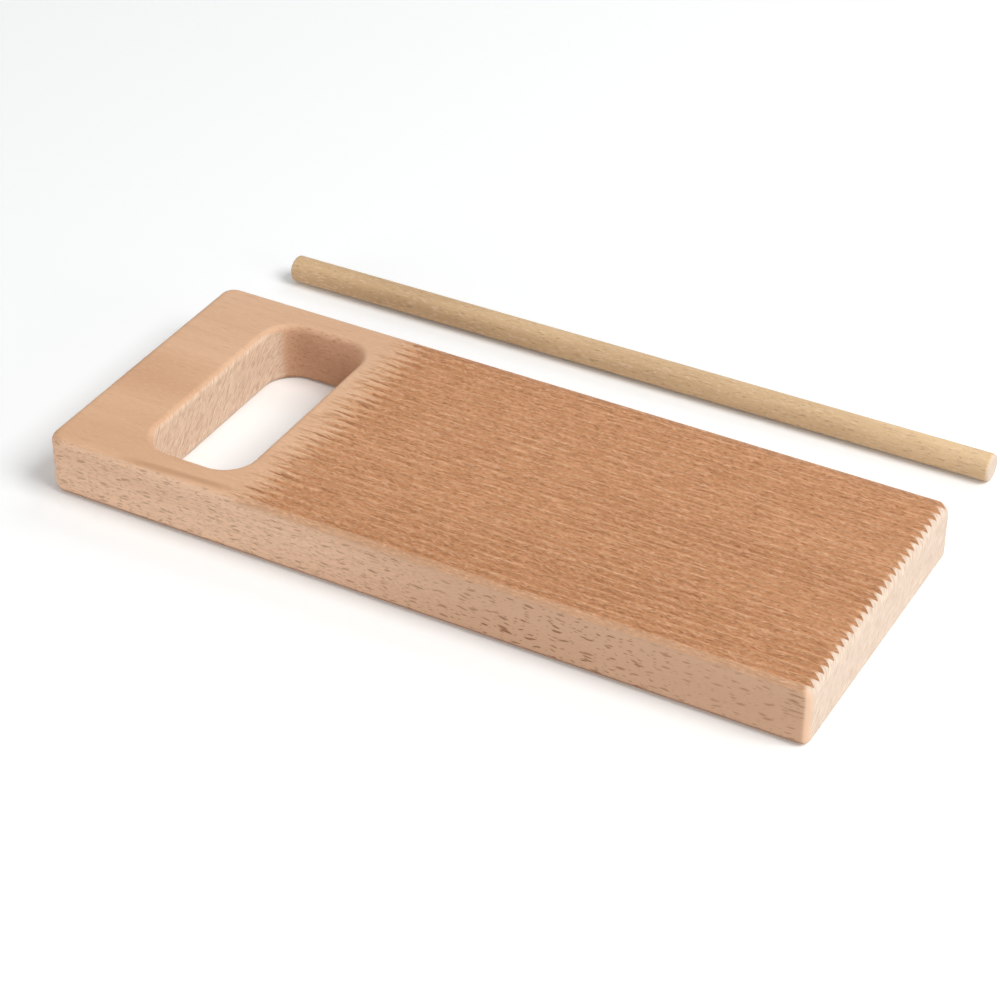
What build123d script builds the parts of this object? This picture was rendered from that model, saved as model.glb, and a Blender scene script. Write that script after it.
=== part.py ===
from build123d import *
from math import acos, degrees, sqrt
import os

# Gnocchi board with its loose rolling rod, in millimetres.
# Origin: centre of the board's underside. +X runs along the board from the hand hole
# to the toothed end, +Y runs across it towards the rod, and +Z points up.

# Sizes of the board's blank
board_length = 225.5
board_width = 90.0
board_thickness = 18.0
handle_corner_radius = 4.5
toothed_edge_radius = 3.5
edge_radius = 2.5

# Sizes of the hand hole and of the wood left round it
handle_bar = 24.3
side_rail = 9.75
hole_width = 31.0
hole_corner_radius = 9.0
hole_edge_radius = 2.0

# Sizes of the grooves, cut lengthwise by a stack of V-shaped discs that is as wide as the
# board and sits a little nearer to the long edge away from the rod
groove_pitch = 3.0
groove_depth = 1.35
ridge_flat = 0.6
groove_gap = 6.3
comb_offset = 1.2
cutter_radius = 60.0

# Sizes and place of the rolling rod
rod_diameter = 8.0
rod_length = 224.0
rod_end_radius = 1.1
rod_gap = 33.8
rod_setback = 1.3
rod_yaw = 0.5

# How far a cut runs past the wood that it removes
overrun = 1.0

# Hand hole: as long as the board's width leaves between the two side rails
hole_length = board_width - 2 * side_rail
hole_start_x = handle_bar - board_length / 2
hole_centre_x = hole_start_x + hole_width / 2
hole_end_x = hole_start_x + hole_width

# Grooves: one for each pitch of the board's width, each starting as a point beside the hand hole
groove_count = round(board_width / groove_pitch)
groove_floor_z = board_thickness - groove_depth
run_in_length = sqrt(cutter_radius**2 - (cutter_radius - groove_depth) ** 2)
full_depth_x = hole_end_x + groove_gap + run_in_length
straight_run = board_length / 2 - full_depth_x + overrun
run_in_angle = degrees(acos((cutter_radius - groove_depth) / cutter_radius))

# One V of the comb, from its tip up to a little above the ridges
flank_slope = (groove_pitch - ridge_flat) / 2 / groove_depth
tooth_height = groove_depth + overrun
tooth_half_width = tooth_height * flank_slope

os.makedirs("parts", exist_ok=True)

# Board: one piece of beech
with BuildPart() as board:
    # Blank seen from the side, with a rounder top edge where the grooves run out
    with BuildSketch(Plane.XZ) as side_outline:
        with Locations((0, board_thickness / 2)):
            Rectangle(board_length, board_thickness)
        toothed_end_vertices = side_outline.vertices().group_by(Axis.X)[-1]
        fillet(toothed_end_vertices.sort_by(Axis.Y)[-1], radius=toothed_edge_radius)
    extrude(amount=board_width / 2, both=True)

    # Rounder corners at the handle end
    handle_corners = board.edges().filter_by(Axis.Z).group_by(Axis.X)[0]
    fillet(handle_corners, radius=handle_corner_radius)

    # Every other edge is rounded alike, right round both faces and both long sides
    under_edges = board.faces().sort_by(Axis.Z)[0].edges()
    top_edges = board.faces().sort_by(Axis.Z)[-1].edges().sort_by(Axis.X)[:-1]
    side_edges = board.faces().filter_by(Axis.Y).edges().group_by(Axis.X)
    toothed_corners = side_edges[-1] + side_edges[-2]
    fillet(under_edges + top_edges + toothed_corners, radius=edge_radius)

    # Hand hole for four fingers, through the board and rounded on both faces
    with BuildSketch(Plane.XY.offset(-overrun)) as hand_hole:
        with Locations((hole_centre_x, 0)):
            RectangleRounded(hole_width, hole_length, hole_corner_radius)
    extrude(amount=board_thickness + 2 * overrun, mode=Mode.SUBTRACT)
    top_face = board.faces().filter_by(Axis.Z).sort_by(Axis.Z)[-1]
    under_face = board.faces().filter_by(Axis.Z).sort_by(Axis.Z)[0]
    hole_rims = top_face.inner_wires()[0].edges() + under_face.inner_wires()[0].edges()
    fillet(hole_rims, radius=hole_edge_radius)

    # Comb of V teeth, standing where the grooves reach their full depth
    with BuildSketch(Plane.YZ.offset(full_depth_x)) as comb:
        with Locations((-comb_offset, groove_floor_z)):
            with GridLocations(groove_pitch, groove_pitch, groove_count, 1):
                Polygon(
                    (0, 0),
                    (tooth_half_width, tooth_height),
                    (-tooth_half_width, tooth_height),
                    align=None,
                )

    # The comb runs straight out through the far end
    extrude(comb.sketch, amount=straight_run, mode=Mode.SUBTRACT)

    # The round cutter comes down on an arc, so each groove starts as a point
    cutter_axis = Axis((full_depth_x, 0, groove_floor_z + cutter_radius), (0, 1, 0))
    revolve(
        comb.sketch,
        axis=cutter_axis,
        revolution_arc=2 * run_in_angle,
        mode=Mode.SUBTRACT,
    )
board.part.label = "board"

# Rolling rod: a loose dowel lying on the table behind the board
rod_centre_y = board_width / 2 + rod_gap + rod_diameter / 2
rod_middle = Plane(origin=(-rod_setback, rod_centre_y, rod_diameter / 2)).rotated((0, 0, rod_yaw))
rod_section = Plane(origin=rod_middle.origin, x_dir=rod_middle.y_dir, z_dir=rod_middle.x_dir)

with BuildPart() as rolling_rod:
    with BuildSketch(rod_section) as dowel_section:
        Circle(rod_diameter / 2)
    extrude(amount=rod_length / 2, both=True)
    fillet(rolling_rod.edges().filter_by(GeomType.CIRCLE), radius=rod_end_radius)
rolling_rod.part.label = "rolling_rod"

export_step(board.part, "parts/board.step")
export_step(rolling_rod.part, "parts/rolling_rod.step")
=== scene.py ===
import bpy
import math
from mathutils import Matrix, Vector


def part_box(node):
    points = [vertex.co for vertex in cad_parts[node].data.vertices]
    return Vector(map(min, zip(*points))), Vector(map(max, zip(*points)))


# Gnocchi board of bare beech with its loose rolling rod, on a pale studio floor.
# Metres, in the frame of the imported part: +X from the hand hole to the toothed end, +Z up.
# The materials count in the part's millimetres.

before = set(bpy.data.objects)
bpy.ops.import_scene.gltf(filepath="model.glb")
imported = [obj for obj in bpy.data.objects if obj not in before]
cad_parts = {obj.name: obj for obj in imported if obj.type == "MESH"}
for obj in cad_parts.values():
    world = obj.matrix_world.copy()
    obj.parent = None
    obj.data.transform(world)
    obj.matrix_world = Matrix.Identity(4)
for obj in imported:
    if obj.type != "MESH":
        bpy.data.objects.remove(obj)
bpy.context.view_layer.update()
board_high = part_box("board")[1]

MM = 0.001

# Camera of the photograph: where it stands, which way it looks and how long its lens is
CAMERA_PLACE = Vector((0.30290, -0.54195, 0.45073))
CAMERA_AZIMUTH = 28.978
CAMERA_ELEVATION = 35.529
CAMERA_LENS = 102.675
SENSOR_WIDTH = 36.0

# Sizes of the board that its material follows, in mm; the hand hole's take in its rounded rim
TOP_Z = board_high.z / MM
END_X = board_high.x / MM
HOLE_X = (-89.5, -57.0)
HOLE_HALF_Y = 36.5
GROOVE_START_X = -51.2
FULL_DEPTH_X = -38.5
NEAR_GROOVES_Y = -46.3
FAR_GROOVES_Y = 43.5
GROOVE_DEPTH = 1.35
GROOVE_PITCH = 3.0
GROOVE_MIDDLE_Y = -1.2

# Where each change of colour comes in, in mm: the place where there is none of it, then where it is
# full
PALE_HANDLE_Y = (-10.0, 40.0)
PALE_CUT_Y = (-5.0, 40.0)
RICH_SIDE_X = (-30.0, 30.0)
LARGE_RAYS_X = (84.0, 58.0)
# Painted shade along the lower rim of the sides, where the contact shadow falls
PAINTED_SHADE_RIM_Z = (1.9, 1.0)
SHOULDER_X = (GROOVE_START_X - 8.0, GROOVE_START_X + 4.0)
SHOULDER_Y = (41.5, 45.1)
CORNER_MARKS_X = (END_X - 7.0, END_X - 4.5)
CORNER_MARKS_LOW_Z = (TOP_Z - 10.0, TOP_Z - 8.0)
CORNER_MARKS_HIGH_Z = (TOP_Z - 1.2, TOP_Z - 2.4)
BEFORE_CORNER_X = (END_X - 2.5, END_X - 3.0)

# The same for the grooves, from the first tears and darkened valleys beside the hand hole to their full
# depth
TEARS_X = (GROOVE_START_X - 7.0, GROOVE_START_X + 2.0)
VALLEY_END_GRAIN_AND_SHADE_X = (GROOVE_START_X - 2.5, GROOVE_START_X + 0.5)
CUT_X = (GROOVE_START_X - 1.0, GROOVE_START_X)
FIELD_X = (GROOVE_START_X - 0.5, FULL_DEPTH_X - 4.5)
TORN_X = (FULL_DEPTH_X + 1.0, GROOVE_START_X + 3.0)
NEAR_FIELD_Y = (NEAR_GROOVES_Y, NEAR_GROOVES_Y + 2.5)
FAR_FIELD_Y = (FAR_GROOVES_Y + 0.3, FAR_GROOVES_Y - 0.3)

# Width over which the finish changes at the hand hole, in mm
HOLE_EDGE = 0.5

# Soft streak on the near rail: its middle, its slope, and the distances from its middle,
# across it and along it, at which it has faded out and is full
STREAK_MIDDLE = (-71.0, -42.6)
STREAK_SLOPE = 0.055
STREAK_ACROSS = (1.8, 0.2)
STREAK_ALONG = (22.0, 10.0)

# How far patterns wander, in mm
RING_BEND = 9.0
FIBRE_WAVE = 1.1
RAY_WAVE = 2.4
BORDER_WANDER = 3.0
BORDER_TEETH = 1.2
SHOULDER_TEETH = 5.0
START_SPREAD = 4.0

# The starts of the grooves wander this many times as far as the field's near border
START_WANDER = 2.5

# Each long side gets a number of its own from its place across, which moves its rays along
SIDE_NUMBER_STEP = 18.0
SIDE_NUMBER_SHIFT = 3.71

# Slant of the strokes on end grain, in degrees from the board's width
STROKE_SLANT = 50

# Surface of the wood; bumps are in mm, and rises and sinks are shares of them
ROUGHNESS = 0.6
SPECULAR = 0.25
BOARD_BUMP = 0.06
ROD_BUMP = 0.05
SLIVER_RISE = 0.9
RAY_SINK = 0.5

# Colours are linear, as Blender's sockets take them
HANDLE_LIGHT = (0.81, 0.51, 0.32)
HANDLE_DARK = (0.69, 0.40, 0.235)
HANDLE_LINE = (0.56, 0.31, 0.18)
HANDLE_PALE = (0.80, 0.545, 0.37)
SHOULDER = (0.58, 0.355, 0.235)
CUT_LIGHT = (0.745, 0.412, 0.216)
CUT_DARK = (0.575, 0.283, 0.134)
CUT_START = (0.46, 0.215, 0.10)
SLIVER_LIGHT = (0.92, 0.57, 0.36)
DARK_SLIVER_AND_RIM_SHADE = (0.32, 0.14, 0.06)
SIDE_LIGHT = (0.86, 0.583, 0.403)
SIDE_DARK = (0.70, 0.43, 0.28)
SIDE_RICH = (0.64, 0.39, 0.25)
FLECK = (0.31, 0.15, 0.075)
END_PALE = (0.74, 0.60, 0.49)
HOLE_PALE = (0.83, 0.61, 0.45)
HOLE_SIDE = (0.69, 0.41, 0.26)
STROKE_DARK = (0.54, 0.35, 0.225)
STROKE_LIGHT = (0.95, 0.78, 0.60)
ROD_LIGHT = (0.865, 0.615, 0.36)
ROD_DARK = (0.60, 0.398, 0.22)
WHITE = (1.0, 1.0, 1.0)

# Floor: to the camera the paper is white, a little brighter than its light alone makes it
FLOOR_HALF = 3.0
FLOOR_COLOUR = (0.85, 0.85, 0.85)
FLOOR_SEEN = (0.985, 1.0, 1.0)
FLOOR_LIFT = 0.08

# World: how strongly it lights the object, and how bright the camera sees it
ROOM_STRENGTH = 0.34
SEEN_STRENGTH = 1.0

# Lamps: name, place, the point it is aimed at, width, height and power in watts
LAMPS = (
    ("key", (1.12, 0.01, 1.36), (0, 0, 0), 0.9, 0.9, 21.5),
    ("back_light", (0.20, 1.30, 1.30), (0, 0, 0), 0.9, 0.6, 4.0),
    ("side_fill", (1.60, -0.30, 0.35), (0, 0, 0), 0.8, 0.6, 4.0),
    ("front_fill", (-0.60, -0.90, 0.16), (-0.05, 0, 0), 0.8, 0.25, 3.0),
)

# Places of the colours among a Mix node's sockets
MIX_FIRST, MIX_SECOND, MIX_RESULT = 6, 7, 2


class Graph:
    """Short calls for building the node tree of a material or a world."""

    def __init__(self, owner):
        owner.use_nodes = True
        self.owner = owner
        self.nodes = owner.node_tree.nodes
        self.links = owner.node_tree.links
        self.nodes.clear()

    def put(self, socket, value):
        """Links a socket to another one, or sets its constant; a colour comes without its alpha."""
        if isinstance(value, bpy.types.NodeSocket):
            self.links.new(value, socket)
        elif socket.type == "RGBA":
            socket.default_value = (*value, 1.0)
        else:
            socket.default_value = value

    def node(self, kind, inputs=None, **settings):
        made = self.nodes.new(kind)
        for name, value in settings.items():
            setattr(made, name, value)
        for name, value in (inputs or {}).items():
            self.put(made.inputs[name], value)
        return made

    def calculate(self, kind, operation, values):
        made = self.node(kind, operation=operation)
        for index, value in enumerate(values):
            self.put(made.inputs[index], value)
        return made.outputs[0]

    def math(self, operation, *values):
        return self.calculate("ShaderNodeMath", operation, values)

    def vector_math(self, operation, *values):
        return self.calculate("ShaderNodeVectorMath", operation, values)

    def vector(self, **parts):
        return self.node("ShaderNodeCombineXYZ", parts).outputs[0]

    def absolute(self, value):
        return self.math("ABSOLUTE", value)

    def inverse(self, mask):
        return self.math("SUBTRACT", 1.0, mask)

    def both(self, first, second):
        """Where both masks hold; either may be a plain share."""
        return self.math("MULTIPLY", first, second)

    def part(self, mask, share):
        """The mask, weakened to a share of itself."""
        return self.math("MULTIPLY", mask, share)

    def either(self, first, second):
        return self.math("MAXIMUM", first, second)

    def step(self, value, none, full):
        """Mask that goes smoothly from 0 at none to 1 at full; either of them may be the larger."""
        inputs = {"Value": value, "From Min": none, "From Max": full}
        return self.node("ShaderNodeMapRange", inputs, interpolation_type="SMOOTHSTEP").outputs[0]

    def weigh(self, mask, without, within):
        """A number that changes from one value to the other as the mask comes in."""
        return self.math("MULTIPLY_ADD", mask, within - without, without)

    def mix(self, factor, first, second):
        made = self.node("ShaderNodeMix", {"Factor": factor}, data_type="RGBA")
        self.put(made.inputs[MIX_FIRST], first)
        self.put(made.inputs[MIX_SECOND], second)
        return made.outputs[MIX_RESULT]

    def stain(self, colour, over, field, none, full, share):
        """The colour under a share of another one, which comes in as a field goes from none to full."""
        return self.mix(self.both(self.step(field, none, full), share), colour, over)

    def surface(self):
        """Place in mm and normal, both in the piece's own axes, with their parts."""
        coords = self.node("ShaderNodeTexCoord")
        place = self.node("ShaderNodeVectorMath", {"Scale": 1 / MM}, operation="SCALE")
        self.put(place.inputs[0], coords.outputs["Object"])
        self.place = place.outputs[0]
        self.x, self.y, self.z = self.node("ShaderNodeSeparateXYZ", {"Vector": self.place}).outputs
        facing = self.node("ShaderNodeSeparateXYZ", {"Vector": coords.outputs["Normal"]})
        self.facing_x, self.facing_y, self.facing_z = facing.outputs

    def moved(self, **offset):
        """The place moved aside by an offset in mm along X, Y or Z."""
        return self.vector_math("ADD", self.place, self.vector(**offset))

    def grain(self, along, across, through, shift=(0, 0, 0), place=None, detail=1, roughness=0.5):
        """Noise with waves of the given lengths in mm along X, Y and Z."""
        if place is None:
            place = self.place
        shares = (1 / along, 1 / across, 1 / through)
        space = self.vector_math("MULTIPLY_ADD", place, shares, shift)
        inputs = {"Vector": space, "Scale": 1.0, "Detail": detail, "Roughness": roughness}
        return self.node("ShaderNodeTexNoise", inputs).outputs["Fac"]

    def flecks(self, flat_place, long, wide, small, large, shift=(0, 0)):
        """Lens-shaped marks of uneven size on a flat place, one in each cell of long by wide mm."""
        space = self.vector_math("MULTIPLY_ADD", flat_place, (1 / long, 1 / wide, 0), (*shift, 0))
        inputs = {"Vector": space, "Scale": 1.0}
        cells = self.node("ShaderNodeTexVoronoi", inputs, voronoi_dimensions="2D")
        chance = self.node("ShaderNodeSeparateColor", {"Color": cells.outputs["Color"]}).outputs[0]
        size = self.weigh(chance, without=small, within=large)
        return self.step(self.math("DIVIDE", cells.outputs["Distance"], size), none=1.0, full=0.4)

    def finish(self, colour, height, depth):
        """Closes the tree as bare wood, with bumps of the given depth in mm."""
        bump_inputs = {"Height": height, "Distance": depth * MM, "Strength": 1.0}
        shader_inputs = {
            "Base Color": colour,
            "Normal": self.node("ShaderNodeBump", bump_inputs).outputs[0],
            "Roughness": ROUGHNESS,
            "Specular IOR Level": SPECULAR,
        }
        shader = self.node("ShaderNodeBsdfPrincipled", shader_inputs)
        self.node("ShaderNodeOutputMaterial", {"Surface": shader.outputs[0]})
        return self.owner


def fibre_texture(g):
    """Fibres that all the beech shares, a little wavy along the grain."""
    wobble = g.grain(along=8, across=3, through=3, shift=(17, 2, 5))
    aside = g.weigh(wobble, without=-FIBRE_WAVE / 2, within=FIBRE_WAVE / 2)
    g.wavy_place = g.moved(Y=aside, Z=aside)
    g.fibre = g.grain(
        along=9, across=0.4, through=0.4, place=g.wavy_place, detail=3, roughness=0.6
    )
    g.light_fibre = g.grain(
        along=2.0, across=0.42, through=0.5, shift=(11, 5, 2), place=g.wavy_place
    )


def board_texture(g):
    """The board's slow changes of tone, growth lines, darker and longer fibres, pores and tears."""
    g.tone = g.step(g.grain(along=130, across=24, through=14, detail=2), none=0.3, full=0.7)
    bend = g.grain(along=160, across=40, through=40, shift=(7, 3, 1))
    bent_place = g.moved(Y=g.math("MULTIPLY", bend, RING_BEND))
    g.rings = g.grain(
        along=300, across=1.9, through=60, place=bent_place, detail=2, roughness=0.6
    )
    g.dark_fibre = g.grain(
        along=1.8, across=0.42, through=0.45, shift=(4, 31, 9), place=g.wavy_place
    )
    g.long_fibre = g.grain(
        along=8, across=0.5, through=0.5, shift=(21, 13, 7), place=g.wavy_place
    )
    g.pores = g.grain(
        along=1.1, across=0.4, through=0.45, shift=(13, 9, 27), place=g.wavy_place, detail=0
    )
    g.tears = g.grain(
        along=7, across=0.95, through=1.4, shift=(31, 4, 3), place=g.wavy_place
    )


def mark_surfaces(g):
    """Masks of the long sides, of end grain and of the hand hole's walls."""
    g.side = g.step(g.absolute(g.facing_y), none=0.35, full=0.9)

    # At the handle end and in the hand hole, end grain gives way sooner towards the sides and
    # the top than at the toothed end
    before_corner = g.step(g.x, *BEFORE_CORNER_X)
    weight = g.weigh(before_corner, without=-0.05, within=0.45)
    towards_side = g.both(g.absolute(g.facing_y), weight)
    facing_up = g.step(g.facing_z, none=0.1, full=0.5)
    towards_top = g.part(g.both(before_corner, facing_up), share=0.35)
    facing_end = g.math("SUBTRACT", g.absolute(g.facing_x), towards_side)
    g.end = g.step(g.math("SUBTRACT", facing_end, towards_top), none=0.22, full=0.6)

    beside_hole = g.step(g.absolute(g.y), none=HOLE_HALF_Y + HOLE_EDGE, full=HOLE_HALF_Y)
    past_start = g.step(g.x, none=HOLE_X[0] - HOLE_EDGE, full=HOLE_X[0])
    before_end = g.step(g.x, none=HOLE_X[1] + HOLE_EDGE, full=HOLE_X[1])
    g.in_hole = g.both(beside_hole, g.both(past_start, before_end))


def mark_grooves(g):
    """Masks of the wood that the cutter laid open, with ragged borders."""
    g.depth = g.math("SUBTRACT", TOP_Z, g.z)
    g.torn_edge = g.math("SUBTRACT", g.dark_fibre, g.light_fibre)
    wander = g.weigh(g.fibre, without=-BORDER_WANDER / 2, within=BORDER_WANDER / 2)
    g.ragged_y = g.math("ADD", g.y, wander)
    ragged_depth = g.math("MULTIPLY_ADD", g.torn_edge, BORDER_TEETH, g.depth)

    # Each groove starts at a place of its own
    off_middle = g.math("SUBTRACT", g.y, GROOVE_MIDDLE_Y)
    number = g.math("FLOOR", g.math("MULTIPLY", off_middle, 1 / GROOVE_PITCH))
    own = g.node("ShaderNodeTexWhiteNoise", {"W": number}, noise_dimensions="1D").outputs["Value"]
    own_x = g.math("MULTIPLY_ADD", g.math("SUBTRACT", own, 0.5), START_SPREAD, g.x)
    g.ragged_x = g.math("ADD", own_x, g.math("MULTIPLY", wander, START_WANDER))

    across = g.both(g.step(g.ragged_y, *NEAR_FIELD_Y), g.step(g.y, *FAR_FIELD_Y))
    g.grooved = g.both(across, g.step(g.facing_z, none=0.35, full=0.65))
    laid_open = g.step(g.depth, none=0.0, full=0.08)
    open_wood = g.both(laid_open, g.step(ragged_depth, none=-0.05, full=0.45))
    cut = g.both(g.both(g.grooved, g.step(g.x, *CUT_X)), open_wood)
    g.in_field = g.either(g.both(g.grooved, g.step(g.ragged_x, *FIELD_X)), cut)


def sanded_wood(g):
    """Top and underside, with a few short dark lines and one soft streak beside the hand hole."""
    colour = g.mix(g.tone, HANDLE_LIGHT, HANDLE_DARK)
    colour = g.stain(colour, HANDLE_PALE, g.y, *PALE_HANDLE_Y, share=0.42)
    colour = g.stain(colour, HANDLE_DARK, g.rings, none=0.45, full=0.75, share=0.35)
    colour = g.stain(colour, HANDLE_DARK, g.fibre, none=0.45, full=0.8, share=0.5)
    colour = g.stain(colour, SLIVER_LIGHT, g.light_fibre, none=0.45, full=0.8, share=0.35)
    lines = g.grain(along=7, across=0.55, through=3, shift=(2, 8, 5))
    colour = g.stain(colour, HANDLE_LINE, lines, none=0.62, full=0.76, share=0.5)
    y_at_origin = STREAK_MIDDLE[1] - STREAK_SLOPE * STREAK_MIDDLE[0]
    streak_y = g.math("MULTIPLY_ADD", g.x, STREAK_SLOPE, y_at_origin)
    off_streak = g.absolute(g.math("SUBTRACT", g.y, streak_y))
    along_streak = g.absolute(g.math("SUBTRACT", g.x, STREAK_MIDDLE[0]))
    share = g.part(g.step(along_streak, *STREAK_ALONG), share=0.75)
    return g.stain(colour, HANDLE_LINE, off_streak, *STREAK_ACROSS, share=share)


def side_wood(g):
    """Long sides, with the dark lens-shaped ends of the rays; each side has its own pattern."""
    colour = g.mix(g.tone, SIDE_LIGHT, SIDE_DARK)
    colour = g.stain(colour, SIDE_DARK, g.fibre, none=0.4, full=0.75, share=0.8)
    colour = g.stain(colour, SLIVER_LIGHT, g.light_fibre, none=0.48, full=0.75, share=0.5)
    colour = g.stain(colour, FLECK, g.dark_fibre, none=0.5, full=0.75, share=0.35)
    past_middle = g.step(g.x, *RICH_SIDE_X)
    colour = g.mix(g.part(past_middle, share=0.75), colour, SIDE_RICH)

    # Rays are largest and darkest in clusters past the middle
    side_number = g.math("SNAP", g.y, SIDE_NUMBER_STEP)
    side_x = g.math("MULTIPLY_ADD", side_number, SIDE_NUMBER_SHIFT, g.x)
    wave = g.grain(along=6, across=30, through=4, shift=(9, 1, 3))
    flat_place = g.vector(X=side_x, Y=g.math("MULTIPLY_ADD", wave, RAY_WAVE, g.z))
    rays = g.flecks(flat_place, long=7.0, wide=1.45, small=0.03, large=0.28)
    small_rays = g.flecks(flat_place, long=3.2, wide=0.9, small=0.0, large=0.27, shift=(5.3, 2.7))
    large_rays = g.flecks(flat_place, long=8.5, wide=2.0, small=0.0, large=0.27, shift=(2.1, 7.7))
    rich = g.both(past_middle, g.step(g.x, *LARGE_RAYS_X))
    plain_rays = g.either(rays, g.part(small_rays, share=0.7))
    g.rays = g.either(plain_rays, g.both(large_rays, rich))
    clusters = g.step(g.grain(along=28, across=9, through=9, shift=(8, 4, 6)), none=0.3, full=0.6)
    strength = g.weigh(g.both(clusters, rich), without=0.5, within=1.0)
    colour = g.mix(g.both(g.rays, strength), colour, FLECK)

    # Painted shade along the lower rim, where the contact shadow falls, and the short marks beside the
    # toothed end's corners
    colour = g.stain(colour, DARK_SLIVER_AND_RIM_SHADE, g.z, *PAINTED_SHADE_RIM_Z, share=0.95)
    marks = g.grain(along=7, across=9, through=0.6, shift=(6, 2, 4))
    at_height = g.both(g.step(g.z, *CORNER_MARKS_LOW_Z), g.step(g.z, *CORNER_MARKS_HIGH_Z))
    share = g.part(g.both(g.step(g.x, *CORNER_MARKS_X), at_height), share=0.6)
    return g.stain(colour, FLECK, marks, none=0.5, full=0.62, share=share)


def groove_start_wood(g, colour):
    """Adds the tears that lead into each groove, and darkens each valley where it begins: partly end
    grain that the cutter lays open, partly painted shade.
    """
    # Darker towards each valley's bottom where the grooves begin: partly end grain, partly painted
    # shade
    off_valley = g.math("SUBTRACT", g.y, GROOVE_MIDDLE_Y - GROOVE_PITCH / 2)
    from_valley = g.math("PINGPONG", off_valley, GROOVE_PITCH / 2)
    valley_end_grain_and_shade = g.part(g.both(g.grooved, g.step(g.ragged_x, *VALLEY_END_GRAIN_AND_SHADE_X)), share=0.6)
    colour = g.stain(colour, CUT_DARK, from_valley, none=0.8, full=0.2, share=valley_end_grain_and_shade)
    tears = g.part(g.both(g.grooved, g.step(g.x, *TEARS_X)), share=0.6)
    colour = g.stain(colour, CUT_DARK, g.dark_fibre, none=0.52, full=0.75, share=tears)
    colour = g.stain(colour, CUT_START, g.tears, none=0.58, full=0.64, share=tears)
    return g.stain(colour, SLIVER_LIGHT, g.light_fibre, none=0.5, full=0.72, share=tears)


def cut_wood(g):
    """Wood laid open by the cutter, torn into slivers, with painted light in the valleys and painted
    shade on the crests; darkest where the grooves begin, partly painted shade.
    """
    colour = g.mix(g.part(g.tone, share=0.85), CUT_LIGHT, CUT_DARK)
    colour = g.stain(colour, CUT_DARK, g.fibre, none=0.4, full=0.75, share=0.5)
    # Lighter towards the valley bottoms: painted light that offsets their shade
    colour = g.stain(colour, CUT_LIGHT, g.depth, none=0.0, full=GROOVE_DEPTH, share=0.45)
    colour = g.stain(colour, CUT_LIGHT, g.y, *PALE_CUT_Y, share=0.6)

    # Crests between the grooves darkened in broken patches: painted shade that offsets the light they
    # catch. Valleys darkest where they begin: partly end grain that the cutter lays open, partly
    # painted shade
    torn = g.step(g.x, *TORN_X)
    crest_shade_breaks = g.grain(along=5, across=1.1, through=9, shift=(1, 6, 3), detail=2)
    crest = g.both(g.step(g.depth, none=0.5, full=0.1), g.inverse(torn))
    colour = g.stain(colour, CUT_DARK, crest_shade_breaks, none=0.3, full=0.6, share=crest)
    start = g.part(torn, share=0.3)
    colour = g.stain(colour, CUT_START, g.depth, none=0.0, full=0.5, share=start)

    # Slivers and pores of several lengths, and longer tears at the start
    colour = g.stain(colour, DARK_SLIVER_AND_RIM_SHADE, g.long_fibre, none=0.48, full=0.3, share=0.3)
    colour = g.stain(colour, SLIVER_LIGHT, g.long_fibre, none=0.52, full=0.7, share=0.35)
    g.dark_slivers = g.step(g.dark_fibre, none=0.52, full=0.72)
    g.light_slivers = g.step(g.light_fibre, none=0.52, full=0.72)
    colour = g.mix(g.part(g.dark_slivers, share=0.4), colour, DARK_SLIVER_AND_RIM_SHADE)
    colour = g.mix(g.part(g.light_slivers, share=0.5), colour, SLIVER_LIGHT)
    colour = g.stain(colour, DARK_SLIVER_AND_RIM_SHADE, g.pores, none=0.5, full=0.75, share=0.2)
    colour = g.stain(colour, SLIVER_LIGHT, g.pores, none=0.5, full=0.25, share=0.2)
    dark_tears = g.part(torn, share=0.6)
    light_tears = g.part(torn, share=0.45)
    colour = g.stain(colour, DARK_SLIVER_AND_RIM_SHADE, g.tears, none=0.57, full=0.63, share=dark_tears)
    return g.stain(colour, SLIVER_LIGHT, g.tears, none=0.42, full=0.36, share=light_tears)


def shoulder_wood(g, colour):
    """Darkens the rounded long edges beside the grooves, with a streaky inner border."""
    streaky_y = g.math("MULTIPLY_ADD", g.torn_edge, SHOULDER_TEETH, g.absolute(g.ragged_y))
    shoulder = g.both(g.step(streaky_y, *SHOULDER_Y), g.step(g.x, *SHOULDER_X))
    share = g.part(shoulder, share=0.6)
    return g.stain(colour, SHOULDER, g.facing_z, none=0.1, full=0.4, share=share)


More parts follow.
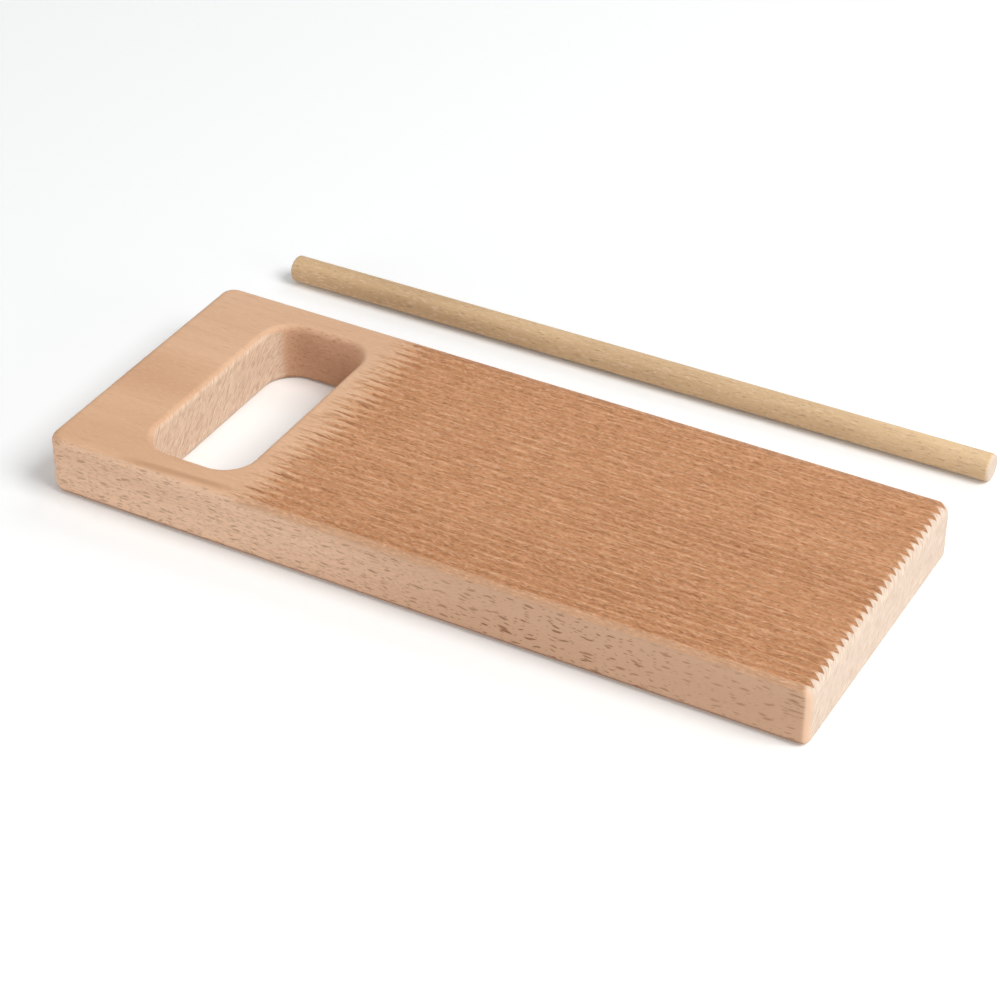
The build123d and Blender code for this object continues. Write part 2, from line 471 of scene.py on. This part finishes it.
def end_wood(g):
    """End grain with the slanting strokes that the saw and the cutter leave, painted darker where it
    faces away from the key lamp.
    """
    slant = math.radians(STROKE_SLANT)
    along = g.math("MULTIPLY_ADD", g.z, math.sin(slant), g.math("MULTIPLY", g.y, math.cos(slant)))
    across = g.math("MULTIPLY_ADD", g.z, math.cos(slant), g.math("MULTIPLY", g.y, -math.sin(slant)))
    place = g.vector(X=g.x, Y=along, Z=across)
    dark = g.grain(along=3, across=2.6, through=0.36, place=place)
    light = g.grain(along=3, across=2.6, through=0.36, shift=(5, 9, 2), place=place)

    # The rounded corners have no strokes. End grain that faces the handle, away from the key lamp, is
    # painted in the hole walls' darker brown with few light strokes: painted shade
    at_corner = g.both(g.absolute(g.facing_y), g.inverse(g.in_hole))
    outside = g.mix(g.step(at_corner, none=0.1, full=0.6), END_PALE, SIDE_LIGHT)
    painted_shade_facing_back = g.step(g.facing_x, none=0.0, full=-0.5)
    colour = g.mix(painted_shade_facing_back, g.mix(g.in_hole, outside, HOLE_PALE), HOLE_SIDE)
    contrast = g.weigh(g.in_hole, without=0.5, within=0.7)
    strokes = g.both(contrast, g.step(at_corner, none=0.6, full=0.0))
    light_strokes = g.both(strokes, g.weigh(painted_shade_facing_back, without=1.0, within=0.3))
    colour = g.stain(colour, STROKE_DARK, dark, none=0.45, full=0.7, share=strokes)
    return g.stain(colour, STROKE_LIGHT, light, none=0.5, full=0.7, share=light_strokes)


def hole_side_wood(g):
    """Walls of the hand hole along the grain: brown, with fine strokes and no rays."""
    colour = g.stain(HOLE_SIDE, DARK_SLIVER_AND_RIM_SHADE, g.dark_fibre, none=0.5, full=0.75, share=0.4)
    return g.stain(colour, SLIVER_LIGHT, g.light_fibre, none=0.5, full=0.75, share=0.35)


def board_beech():
    g = Graph(bpy.data.materials.new("board_beech"))
    g.surface()
    fibre_texture(g)
    board_texture(g)
    mark_surfaces(g)
    mark_grooves(g)
    colour = g.mix(g.side, sanded_wood(g), side_wood(g))
    colour = groove_start_wood(g, colour)
    colour = g.mix(g.in_field, colour, cut_wood(g))
    colour = shoulder_wood(g, colour)
    colour = g.mix(g.end, colour, end_wood(g))
    walls = g.both(g.in_hole, g.both(g.side, g.inverse(g.end)))
    colour = g.mix(walls, colour, hole_side_wood(g))
    slivers = g.both(g.in_field, g.math("SUBTRACT", g.light_slivers, g.dark_slivers))
    height = g.math("MULTIPLY_ADD", slivers, SLIVER_RISE, g.fibre)
    height = g.math("MULTIPLY_ADD", g.both(g.side, g.rays), -RAY_SINK, height)
    return g.finish(colour, height, BOARD_BUMP)


def rod_beech():
    g = Graph(bpy.data.materials.new("rod_beech"))
    g.surface()
    fibre_texture(g)
    patches = g.step(g.grain(along=60, across=6, through=6, detail=2), none=0.3, full=0.7)
    patchy = g.weigh(patches, without=-0.08, within=0.42)
    towards_handle = g.step(g.x, none=END_X, full=-END_X)
    shade = g.math("ADD", g.part(towards_handle, share=0.66), patchy)
    colour = g.mix(shade, ROD_LIGHT, ROD_DARK)
    colour = g.stain(colour, ROD_DARK, g.fibre, none=0.45, full=0.8, share=0.5)
    colour = g.stain(colour, STROKE_LIGHT, g.light_fibre, none=0.5, full=0.75, share=0.35)
    marks = g.grain(along=2.2, across=0.5, through=0.5, shift=(3, 1, 7))
    rays = g.step(marks, none=0.6, full=0.74)
    colour = g.mix(g.part(rays, share=0.4), colour, FLECK)
    end = g.step(g.absolute(g.facing_x), none=0.3, full=0.7)
    colour = g.mix(end, colour, END_PALE)
    height = g.math("MULTIPLY_ADD", rays, -RAY_SINK, g.fibre)
    return g.finish(colour, height, ROD_BUMP)


def dress(node_name, material):
    """Gives a CAD node its material."""
    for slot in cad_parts[node_name].material_slots:
        slot.material = material


def aim(target, direction):
    """Turns a camera or lamp to look along a direction."""
    target.rotation_mode = "QUATERNION"
    target.rotation_quaternion = direction.to_track_quat("-Z", "Y")


def make_camera():
    data = bpy.data.cameras.new("camera")
    data.sensor_width = SENSOR_WIDTH
    data.lens = CAMERA_LENS
    camera = bpy.data.objects.new("camera", data)
    camera.location = CAMERA_PLACE
    azimuth, elevation = math.radians(CAMERA_AZIMUTH), math.radians(CAMERA_ELEVATION)
    level = math.cos(elevation)
    back = Vector((math.sin(azimuth) * level, -math.cos(azimuth) * level, math.sin(elevation)))
    aim(camera, -back)
    bpy.context.scene.collection.objects.link(camera)
    bpy.context.scene.camera = camera


def make_lamp(name, place, target, width, height, energy):
    data = bpy.data.lights.new(name, "AREA")
    data.shape = "RECTANGLE"
    data.size = width
    data.size_y = height
    data.energy = energy
    lamp = bpy.data.objects.new(name, data)
    lamp.location = place
    aim(lamp, Vector(target) - Vector(place))
    bpy.context.scene.collection.objects.link(lamp)


def make_world():
    """A white room that the camera sees brighter than it lights the object."""
    world = bpy.data.worlds.new("studio")
    bpy.context.scene.world = world
    g = Graph(world)
    room = g.node("ShaderNodeBackground", {"Color": WHITE, "Strength": ROOM_STRENGTH})
    seen = g.node("ShaderNodeBackground", {"Color": WHITE, "Strength": SEEN_STRENGTH})
    mixed = g.node("ShaderNodeMixShader")
    g.put(mixed.inputs[0], g.node("ShaderNodeLightPath").outputs["Is Camera Ray"])
    g.put(mixed.inputs[1], room.outputs[0])
    g.put(mixed.inputs[2], seen.outputs[0])
    g.node("ShaderNodeOutputWorld", {"Surface": mixed.outputs[0]})


def make_floor():
    mesh = bpy.data.meshes.new("floor")
    near, far = -FLOOR_HALF, FLOOR_HALF
    corners = [(near, near, 0), (far, near, 0), (far, far, 0), (near, far, 0)]
    mesh.from_pydata(corners, [], [(0, 1, 2, 3)])
    floor = bpy.data.objects.new("floor", mesh)
    bpy.context.scene.collection.objects.link(floor)
    g = Graph(bpy.data.materials.new("floor_paper"))
    seen = g.node("ShaderNodeLightPath").outputs["Is Camera Ray"]
    paper = g.node("ShaderNodeBsdfDiffuse", {"Color": g.mix(seen, FLOOR_COLOUR, FLOOR_SEEN)})
    lift = g.node("ShaderNodeEmission", {"Strength": g.part(seen, share=FLOOR_LIFT)})
    added = g.node("ShaderNodeAddShader")
    g.put(added.inputs[0], paper.outputs[0])
    g.put(added.inputs[1], lift.outputs[0])
    g.node("ShaderNodeOutputMaterial", {"Surface": added.outputs[0]})
    mesh.materials.append(g.owner)


make_camera()
make_world()
for lamp_values in LAMPS:
    make_lamp(*lamp_values)
make_floor()
dress("board", board_beech())
dress("rolling_rod", rod_beech())

bpy.context.scene.view_settings.view_transform = "Standard"
